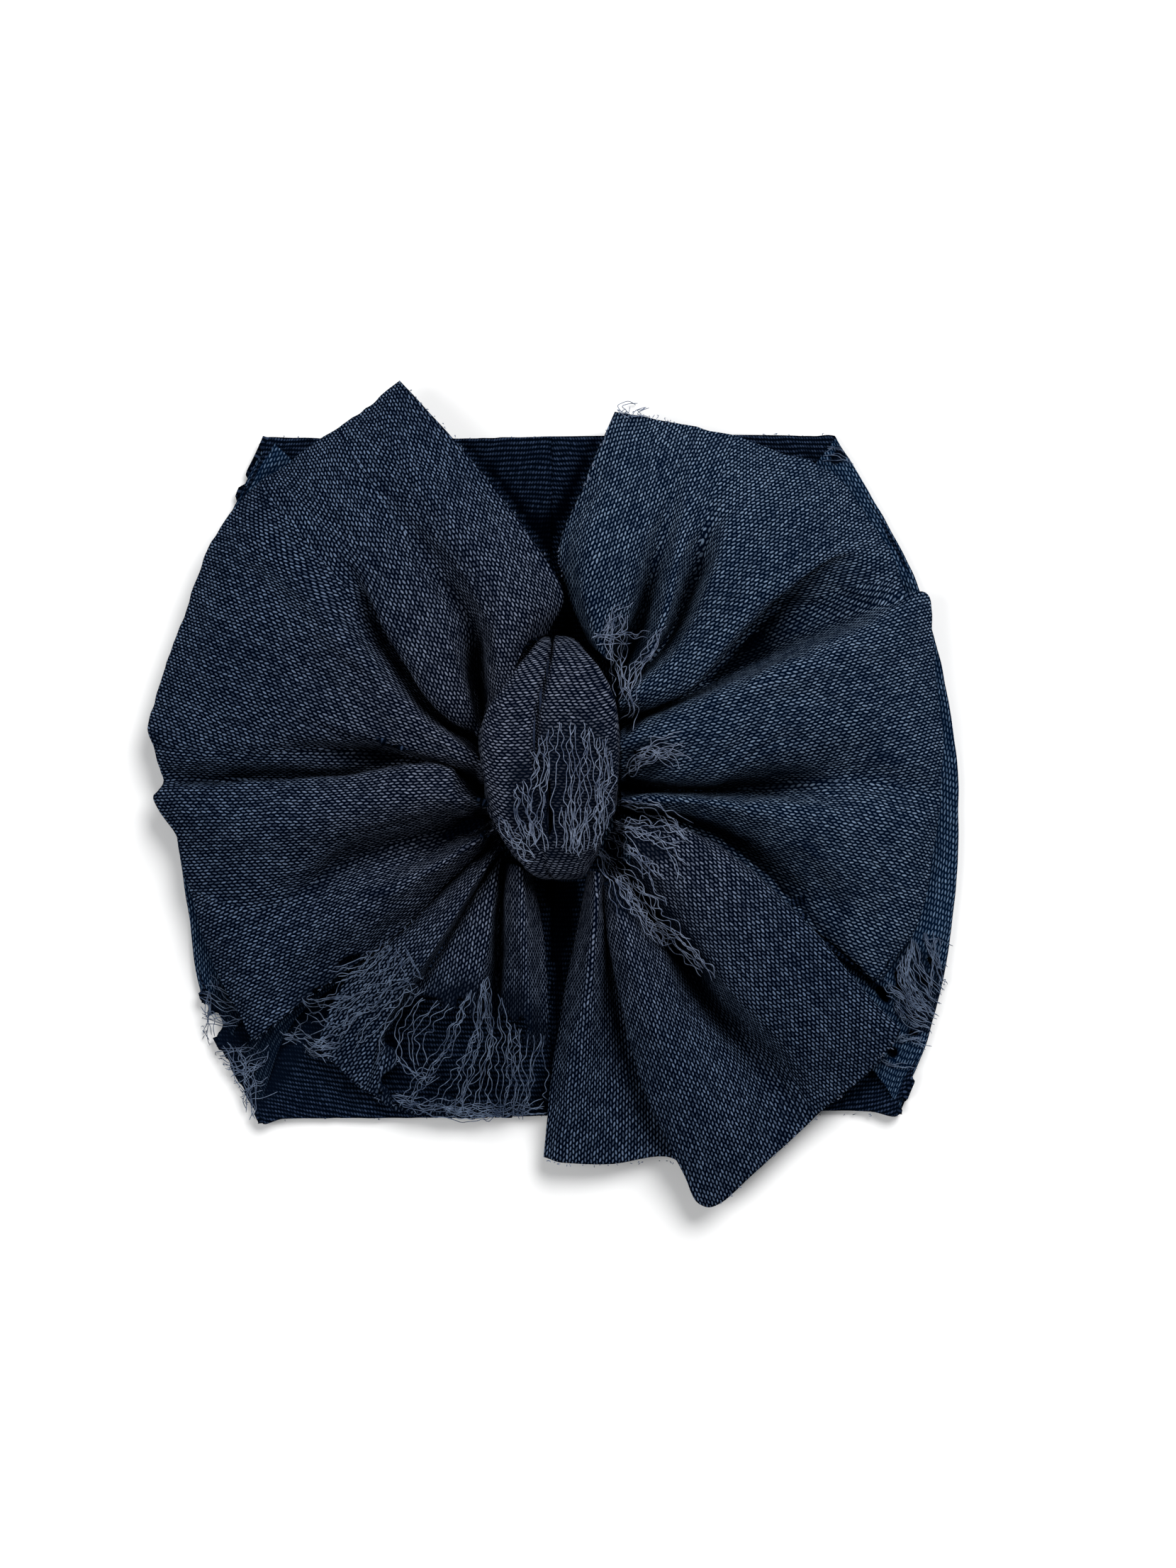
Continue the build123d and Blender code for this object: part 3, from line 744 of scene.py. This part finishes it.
left_loop = bow_cloth(
    "left_loop_cloth", loop_surface(LEFT_LOOP), [0, 3, 6.5, 13, 15.5, 20], [124, 122, 158, 176, 182, 208],
    LEFT_LOOP_HOLES, LEFT_LOOP_WORN, 11, KNIT_BOW, fine=((20, 21, 22), (2, 3, 4)), hole_end=LOOP_TOP_END)
right_loop = bow_cloth(
    "right_loop_cloth", loop_surface(RIGHT_LOOP), [0, 3, 5, 9.5, 15], [72, 62, 38, 14, -14],
    RIGHT_LOOP_HOLES, RIGHT_LOOP_WORN, 23, KNIT_BOW_LIT_RIGHT, hole_end=LOOP_TOP_END)
right_tail = bow_cloth(
    "right_tail_cloth", tail_surface(RIGHT_TAIL), [0, 3, 7.5], [-93, -68, -42],
    RIGHT_TAIL_HOLES, RIGHT_TAIL_WORN, 31, KNIT_BOW)
left_tail = bow_cloth(
    "left_tail_cloth", tail_surface(LEFT_TAIL), [0, 3, 6], [-92, -100, -128],
    LEFT_TAIL_HOLES, LEFT_TAIL_WORN, 47, KNIT_BOW, fine=(range(9), (1, 2, 3)))

band_surface = Cloth(BAND, closed=True)
SEEN["head_band"] = band_surface
BAND_FRONT = (3.0, 13.2)  # the first and last line of its front layer
BAND_SEEN_HOLES = BAND_LEFT_HOLES + BAND_RIGHT_HOLES + BAND_TOP_HOLES


def band_keep(points, u, v):
    """Faces that stay: only a few holes go through the rear layer too."""
    front = (u > band_surface.u_of(BAND_FRONT[0])) & (u < band_surface.u_of(BAND_FRONT[1]))
    gone = (ellipse_mask(points, BAND_SEEN_HOLES, 59) > 0) & front
    return ~(gone | (ellipse_mask(points, BAND_THROUGH_HOLES, 60) > 0))


band = cloth_object("head_band", band_surface, [0, 6, 8, 10], keep=band_keep,
                    wear=wear_round(BAND_SEEN_HOLES + BAND_THROUGH_HOLES + BAND_WORN, 59), up=False, seed=61,
                    fine=((3, 4, 12, 13), (3, 4)))
finish_cloth(band, KNIT_BAND, INNER)

WRAP_WORN_Z = 22  # the wrap is worn through only above this height, mm
wrap_surface = Cloth(knot_wrap_lines(), closed=True)
SEEN["knot_wrap_cloth"] = wrap_surface
crown = lambda points, u, v: points[:, 2] > WRAP_WORN_Z
wrap = cloth_object("knot_wrap_cloth", wrap_surface, [0], crumple=0.2, keep=holes(KNOT_HOLES, 71, crown),
                    wear=wear_round(KNOT_WORN, 71), up=False, seed=73, fine=(range(3, 10), ()))
finish_cloth(wrap, KNIT_BOW, INNER)


BUNDLE_PLEATS = 14
BUNDLE_HALF_LENGTH, BUNDLE_HALF_HEIGHT, BUNDLE_Z = 24.5, 11.4, 21  # of its middle section, mm
BUNDLE_HALF = [(15.5, 0.03), (16, 0.35), (15, 0.55), (11, 0.74), (6, 0.92)]  # (x, size) from its end
BUNDLE_PROFILE = [(-x, size) for x, size in BUNDLE_HALF] + [(0, 1)] + BUNDLE_HALF[::-1]


def gathered_bundle():
    """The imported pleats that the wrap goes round: one closed, fluted plug."""
    lines = []
    for k in range(2 * BUNDLE_PLEATS):
        a = pi * k / BUNDLE_PLEATS
        flute = 1.0 if k % 2 else 0.86
        y, z = BUNDLE_HALF_LENGTH * cos(a) * flute, BUNDLE_HALF_HEIGHT * sin(a) * flute
        lines.append([(x, y * size, BUNDLE_Z + z * size) for x, size in BUNDLE_PROFILE])
    obj = cloth_object("gathered_bundle", Cloth(lines, closed=True), [0], crumple=0.1, up=False, seed=83)
    obj.data.materials.append(KNIT_BOW)
    for face in obj.data.polygons:
        face.use_smooth = True
    return obj


bundle = gathered_bundle()


# ---- Loose threads: they lie on the cloth and bridge its worn places and valleys
MAP_CELL = 0.75  # of the maps of heights, mm
MAP_LOW = np.array([-106.0, -116.0])  # their lower left corner, mm
MAP_SHAPE = (284, 292)  # cells along x and y
SWAY = 0.9  # how far neighbouring strands sway together, mm


def height_map(*names):
    """Height of these cloths seen from above, without their worn holes."""
    z = np.full(MAP_SHAPE, 0.2)
    for name in names:
        points = SEEN[name].grid(0.6).reshape(-1, 3)
        at = np.clip(((points[:, :2] - MAP_LOW) / MAP_CELL).astype(int), 0, np.array(MAP_SHAPE) - 1)
        np.maximum.at(z, (at[:, 0], at[:, 1]), points[:, 2])
    near = [np.roll(np.roll(z, a, 0), b, 1) for a in (-1, 0, 1) for b in (-1, 0, 1)]
    return np.max(near, axis=0)


def box_mean(z, k):
    """Mean of the heights within k cells, along each axis in turn."""
    for axis in (0, 1):
        total = np.cumsum(np.concatenate([z, np.take(z, [-1], axis) * 0], axis), axis)
        z = np.delete((np.roll(total, -k, axis) - np.roll(total, k, axis)) / (2 * k), -1, axis)
    return z


def paint_fold_shade(obj, heights, start, full, reach=7.0):
    """Painted shade: marks how far each point that shows from above lies below the cloth round it, from 0 to
    1, the share by which its colour darkens.
    """
    k = int(reach / MAP_CELL)
    mean = box_mean(heights, k)
    n = len(obj.data.vertices)
    x = np.empty(n * 3, np.float32)
    obj.data.vertices.foreach_get("co", x)
    x = x.reshape(-1, 3) / MM
    at = np.clip(((x[:, :2] - MAP_LOW) / MAP_CELL).astype(int), k, np.array(MAP_SHAPE) - 1 - k)
    painted_shade = np.clip((mean[at[:, 0], at[:, 1]] - x[:, 2] - start) / full, 0, 1)
    facing = np.empty(n * 3, np.float32)
    obj.data.vertex_normals.foreach_get("vector", facing)
    painted_shade *= np.clip(facing.reshape(-1, 3)[:, 2] * 3 + 0.5, 0, 1)
    painted_shade *= 1 - np.clip((heights[at[:, 0], at[:, 1]] - x[:, 2] - 5) / 4, 0, 1)
    mark = obj.data.attributes.new("painted_shade", "FLOAT", "POINT")
    mark.data.foreach_set("value", (painted_shade * painted_shade * (3 - 2 * painted_shade)).astype(np.float32))


def windows(z, reach):
    """The values next to each value, out to that reach, as shifted copies."""
    padded = np.pad(z, reach, mode="edge")
    return [padded[k : k + len(z)] for k in range(2 * reach + 1)]


def lay(path, heights, lift=0.0, bridge=3):
    """Lays an (x, y) path on the heights. It bridges gaps shorter than twice bridge samples."""
    q = (path[:, :2] - MAP_LOW) / MAP_CELL - 0.5
    cell = np.clip(q.astype(int), 0, np.array(MAP_SHAPE) - 2)
    f, g = np.clip(q - cell, 0, 1).T
    i, j = cell.T
    low = heights[i, j] * (1 - f) + heights[i + 1, j] * f
    high = heights[i, j + 1] * (1 - f) + heights[i + 1, j + 1] * f
    z = low * (1 - g) + high * g
    if bridge:
        top = np.max(windows(z, bridge), axis=0)
        z = np.maximum(z, np.mean(windows((top + z) / 2, bridge), axis=0))
    out = path.copy()
    out[:, 2] += z + lift
    return out


def on_line(line, share):
    """The point at that share of a line's length."""
    p = np.array(line, float)
    if len(p) == 1:
        return p[0]
    k = lengths(p, 0)
    return np.array([np.interp(share * k[-1], k, p[:, c]) for c in range(2)])


def strands(rng, heights, count, start, end, bow=0.0, kink=0.4, stray=1.0, lift=0.3):
    """Loose strands whose ends are spread along two lines. Neighbours sway together, and each
    keeps kinks of its own."""
    out = []
    for k in range(count):
        share = (k + rng.uniform(0, 1)) / count
        a = on_line(start, share) + rng.normal(0, stray * 0.5, 2)
        b = on_line(end, np.clip(share + rng.normal(0, 0.12), 0, 1)) + rng.normal(0, stray, 2)
        step = b - a
        size = np.hypot(*step)
        side = np.array([-step[1], step[0]]) / max(size, 1e-6)
        t = np.linspace(0, 1, max(4, int(size / 1.6)) + 1)[:, None]
        path = a + step * t + side * size * (bow + rng.normal(0, 0.04)) * 4 * t * (1 - t)
        sway = noise2(path[:, 0], path[:, 1], 5.0, 5.0, 5) * SWAY * np.sin(pi * np.clip(t[:, 0] * 1.2, 0, 1))
        path = path + side * sway[:, None] + rng.normal(0, kink, path.shape) * (t > 0)
        rise = rng.uniform(0, 0.35, len(path)) + lift * rng.uniform(0.2, 1.2)
        path = smooth_path(np.column_stack([path, rise]), 0.5)
        out.append(lay(path, heights))
    return out


def fuzz(rng, heights, line, count, length=1.8, out=(0, 0), lift=0.3):
    """Short fibres standing out of a raw edge."""
    paths = []
    for k in range(count):
        a = on_line(line, rng.uniform(0, 1))
        turn = rng.uniform(0, 2 * pi)
        way = np.array([cos(turn), sin(turn)]) * 0.8 + np.array(out, float)
        b = a + way * length * rng.uniform(0.4, 1.2)
        c = (a + b) / 2 + rng.normal(0, 0.3, 2)
        paths.append(lay(smooth_path([(*q, 0.0) for q in (a, c, b)], 0.35), heights, lift, 0))
    return paths


def make_threads(name, material, heights, groups, edges, extra=()):
    """Groups of strands, given as strands() takes them, and the fuzz along raw edges."""
    paths = []
    for group in groups:
        paths += strands(rng, heights, *group)
    paths += [lay(smooth_path(points, 0.5), heights) for points in extra]
    for edge in edges:
        paths += fuzz(rng, heights, *edge)
    return threads_object(name, paths, material)


ON_LEFT_LOOP = height_map("left_loop_cloth", "left_tail_cloth", "head_band")
ON_RIGHT_LOOP = height_map("right_loop_cloth", "head_band")
ON_LEFT_TAIL = height_map("left_tail_cloth", "head_band")
ON_RIGHT_TAIL = height_map("right_tail_cloth", "right_loop_cloth", "head_band")
ON_KNOT = height_map("knot_wrap_cloth")
ON_BAND = height_map("head_band")

EVERYTHING = height_map(*SEEN)
# Painted shade in the colour of every piece's folds and hollows, with other limits for the band
for piece in (left_loop, right_loop, right_tail, left_tail, wrap, bundle):
    paint_fold_shade(piece, EVERYTHING, start=1.5, full=6.5)
paint_fold_shade(band, EVERYTHING, start=2.0, full=4.5)

LONG_LOOSE_THREAD = [[(6.4, 79, 0.8), (3.3, 74.3, 0.8), (3.8, 69, 0.8), (5.8, 64.8, 0.8)]]
rng = np.random.default_rng(3)

# First the groups: (count, line where the strands start, line where they end, bow, kink, stray,
# lift). Then the raw edges: (line, count, length, direction).
left_loop_threads = make_threads("left_loop_threads", YARN, ON_LEFT_LOOP, [
    (7, [(-38, -45), (-34, -48)], [(-65, -69.5), (-57, -71)], 0.05),
    (6, [(-41, -44), (-38, -45.5)], [(-53, -50), (-52, -54)], 0.14),
    (6, [(-60, -57), (-60.5, -62), (-64, -67)], [(-50, -61), (-52, -67), (-58, -71)], -0.12),
    (4, [(-38, -45), (-34, -46)], [(-35.5, -56), (-31, -53)], 0.05),
    (6, [(-60, -58), (-58, -59)], [(-50, -58), (-47, -55)], -0.1),
    (8, [(-66, -66), (-63, -70)], [(-52, -69), (-54, -73)], -0.05),
], [
    ([(-37, 92), (-24, 79), (-8, 58), (0, 47)], 24, 0.6),
    ([(-30, -36), (-45, -48), (-58, -57), (-72, -68)], 30, 0.9, (-0.3, -0.6)),
])
left_tail_threads = make_threads("left_tail_fringe", YARN, ON_LEFT_TAIL, [
    (7, [(-35, -52), (-31, -56)], [(-53, -62), (-47, -71)], -0.06),
    (9, [(-37, -57), (-30, -58), (-23, -60)], [(-43, -75), (-37, -75), (-30, -74)], -0.14),
    (13, [(-21, -57), (-17, -54.5), (-14.5, -52)], [(-38, -83), (-29, -86), (-19, -86)], 0.05),
    (7, [(-17, -54), (-12.5, -58)], [(-23, -86), (-10, -86)], 0.03),
    (12, [(-12.5, -62), (-6, -66), (-0.8, -67)], [(-14, -86), (-7, -86.5), (-2.5, -86)], 0.0),
    (8, [(-39, -81), (-37, -84)], [(-14, -85), (-12, -86.5)], -0.03),
    (7, [(-26, -84), (-26, -86.5)], [(-3, -83.5), (-3, -86.5)], -0.02),
    (5, [(-37, -72), (-36, -75)], [(-28.5, -76), (-28, -78)], -0.15, 0.5),
], [
    ([(-2, -86), (-27, -86.5), (-40, -84)], 20, 0.8, (0, -0.2)),
    ([(-42, -83), (-50, -76), (-57, -71)], 16, 0.7),
])
right_tail_threads = make_threads("right_tail_threads", PALE_YARN, ON_RIGHT_TAIL, [
    (6, [(15.5, -11), (17, -11)], [(31, -14.5), (33, -20)], 0.12),
    (10, [(15.5, -15), (15, -17)], [(27, -15), (31, -19), (31, -24)], 0.06, 0.55, 1.4),
    (9, [(15, -17), (13, -20)], [(23, -23), (28, -33)], 0.06, 0.6, 1.5),
    (10, [(10.5, -22), (13, -24)], [(18, -38), (28, -37)], 0.0, 0.55, 1.5),
    (2, [(28, -21.5)], [(31, -29)], 0.1),
    (11, [(15, -29), (20, -29)], [(24, -43), (33, -44)], 0.04, 0.5, 1.4),
    (9, [(22, -40), (27, -39)], [(35, -51), (41, -52)], 0.02, 0.36),
], [
    ([(-2, -97), (3, -98.5), (15, -98.5), (31, -97.5)], 24, 0.5, (0, -0.3)),
    ([(36, -108), (41, -108), (50, -99.5), (65, -86.5), (85, -67)], 30, 0.5, (0.3, -0.3)),
])
right_loop_threads = make_threads("right_loop_threads", PALE_YARN, ON_RIGHT_LOOP, [
    (5, [(9.5, 28), (10, 30)], [(20, 29.5), (25, 31.5)], 0.06),
    (9, [(13.5, 34), (18, 35)], [(15.5, 18), (18, 15)], 0.0, 0.5),
    (7, [(27, 32.5), (25, 27)], [(17.5, 18), (19, 12)], -0.05, 0.4),
    (4, [(16, 18), (19, 16)], [(17, 8), (19.5, 9)], 0.15),
    (3, [(11, 29), (12, 31)], [(17, 36), (20, 36)], 0.05, 0.5),
    (15, [(18, -5), (20, -1), (21, 3)], [(31, 5), (31.5, 0), (29, -3)], 0.16, 0.55, 1.3),
    (6, [(17, 83.5), (25, 83)], [(19, 87), (26, 86.5)], 0.5, 0.5, 0.6, 0.5),
], [
    ([(15.5, 85), (8.5, 67), (1.5, 50), (3, 42)], 24, 0.6),
    ([(15.5, 85), (30, 82)], 14, 0.9, (0, 0.6)),
])
knot_threads = make_threads("knot_ladder_threads", PALE_YARN, ON_KNOT, [
    (21, [(2, 8), (7, 8.5), (12.5, 5), (15, 1)], [(2.5, -21), (6, -22), (11, -20), (13.5, -16)],
     0.0, 0.36, 0.9),
    (5, [(-3, 5), (0.5, 8)], [(-5, -20), (-2.2, -21)], 0.0, 0.36, 0.5),
    (7, [(-9.5, -8), (-5.5, -4)], [(-8, -18), (-3, -20)], 0.05, 0.42),
    (3, [(-5.5, 2), (-2.5, 2)], [(-6, -5), (-3, -6)], 0.2, 0.36, 0.4),
    (6, [(-8.5, -14), (-3, -15)], [(-6, -21), (0, -22)], 0.08, 0.45),
    (5, [(-12.5, -13), (-10, -15)], [(-7, -24), (-3, -23)], -0.06),
    (12, [(2, -11), (12, -12)], [(2, -21.5), (10, -21)], 0.0, 0.34),
], [
])
band_threads = make_threads("band_threads", YARN, ON_BAND, [
    (12, [(-83.5, -52), (-85.5, -58), (-85, -65)], [(-77, -57), (-75.5, -62), (-76, -65)], -0.08, 0.4),
    (4, [(-84.8, -56), (-83, -57)], [(-85, -69), (-82, -70)], -0.08, 0.4),
    (18, [(-82.5, -70), (-78, -77), (-74.5, -84)], [(-73.5, -69), (-70, -71), (-69.5, -81)], -0.06, 0.4),
    (7, [(-80, -69), (-76, -71)], [(-74.5, -86), (-71.5, -87)], 0.05, 0.4),
    (26, [(89, -43), (86.5, -47), (84, -51.5)], [(94.5, -57), (93.5, -61), (91.5, -65)], -0.13, 0.28),
    (10, [(90, -41.5), (95, -43.5)], [(96, -51), (93.7, -57)], -0.05, 0.3),
    (17, [(81, -54), (84.5, -61)], [(92.7, -58.7), (90.5, -67)], -0.1, 0.3),
    (7, [(84, -67.5), (85.5, -69)], [(91, -67.5), (90, -70)], 0.12, 0.3),
    (3, [(81, -73.5)], [(88, -73.7)], 0.04, 0.3),
    (1, [(90.5, -43.5)], [(98.2, -45.3)], 0.03, 0.2, 0.2),
    (6, [(66, 73), (67.5, 77)], [(73.5, 72), (71.5, 77)], 0.1, 0.4, 0.6),
], [
    ([(-69, 79), (0, 79), (70, 79.5)], 30, 0.55, (0, 0.3)),
    ([(-71, -88), (-40, -87.5), (85, -86.5)], 24, 0.6, (0, -0.3)),
    ([(-85.5, -58), (-85, -68), (-78, -76), (-74, -85)], 26, 0.9, (-0.4, -0.2)),
    ([(96.5, -49), (95.5, -55)], 8, 1.3, (0.6, 0)),
], LONG_LOOSE_THREAD)

# ---- Floor, light, camera


FLOOR_HALF = 3.0  # m
FLOOR_GAP = 0.2 * MM  # from the frame's ground down to the floor
LIGHT_SIZE = 1.1  # across each lamp, m
VIEW_CENTRE = (8.9, -5.8)  # the point below the camera, mm
VIEW_HEIGHT = 380.5  # of the picture, measured on the bow, mm
VIEW_LEVEL = 12 * MM  # where the picture's size is measured
CAMERA_Z = 1.2  # m


def area_light(name, position, power):
    """A round lamp that faces the bow."""
    data = bpy.data.lights.new(name, "AREA")
    data.shape = "DISK"
    data.size = LIGHT_SIZE
    data.energy = power
    lamp = place(name, data)
    lamp.location = position
    lamp.rotation_euler = (-Vector(position)).to_track_quat("-Z", "Y").to_euler()


def make_stage():
    mesh = bpy.data.meshes.new("floor")
    r = FLOOR_HALF
    mesh.from_pydata([(-r, -r, 0), (r, -r, 0), (r, r, 0), (-r, r, 0)], [], [(0, 1, 2, 3)])
    floor = place("floor", mesh)
    floor.location.z = -FLOOR_GAP
    n = Nodes("floor_white")
    n.shader.inputs["Base Color"].default_value = (0.9, 0.9, 0.9, 1)
    n.shader.inputs["Roughness"].default_value = 0.9
    mesh.materials.append(n.material)
    world = bpy.data.worlds.new("world")
    world.use_nodes = True
    world.node_tree.nodes["Background"].inputs[0].default_value = (0.96, 0.98, 1.0, 1)
    world.node_tree.nodes["Background"].inputs[1].default_value = 0.2
    bpy.context.scene.world = world
    area_light("key", (0.6, 0.95, 1.25), 34)
    area_light("fill", (-0.95, -0.2, 1.3), 12.5)
    bpy.context.scene.view_settings.view_transform = "Standard"


def make_camera():
    data = bpy.data.cameras.new("camera")
    data.sensor_fit = "VERTICAL"
    data.sensor_height = 36
    data.angle_y = 2 * atan(VIEW_HEIGHT * MM / 2 / (CAMERA_Z - VIEW_LEVEL))
    data.clip_start = 0.05
    camera = place("camera", data)
    camera.location = (VIEW_CENTRE[0] * MM, VIEW_CENTRE[1] * MM, CAMERA_Z)
    bpy.context.scene.camera = camera


make_camera()
make_stage()

# ---- The sewing thread's material, the CAD parts that the cloth replaces, and the pieces that move with the band
for node in ("gather_thread", "wrap_seam_stitches"):
    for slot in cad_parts[node].material_slots:
        slot.material = SEWING

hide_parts("band_back_panel", "band_front_left", "band_front_right")
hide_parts("knot_wrap")
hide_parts("gathered_layers")
for piece in (band, wrap, bundle, knot_threads, band_threads):
    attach(piece, "band")

HINGE_Z = 0.02  # m
# For each body that moves: its pieces, and where its bend starts and ends, mm.
HINGES = {
    "left_loop": ((left_loop, left_loop_threads), (-14, 4), (-36, -1)),
    "right_loop": ((right_loop, right_loop_threads), (15, 3), (38, 7)),
    "left_tail": ((left_tail, left_tail_threads), (-9, -22), (-16, -46)),
    "right_tail": ((right_tail, right_tail_threads), (13, -22), (25, -46)),
}
for body, (pieces, start, end) in HINGES.items():
    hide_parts(body)
    start, end = ((x * MM, y * MM, HINGE_Z) for x, y in (start, end))
    for piece in pieces:
        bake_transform(piece)
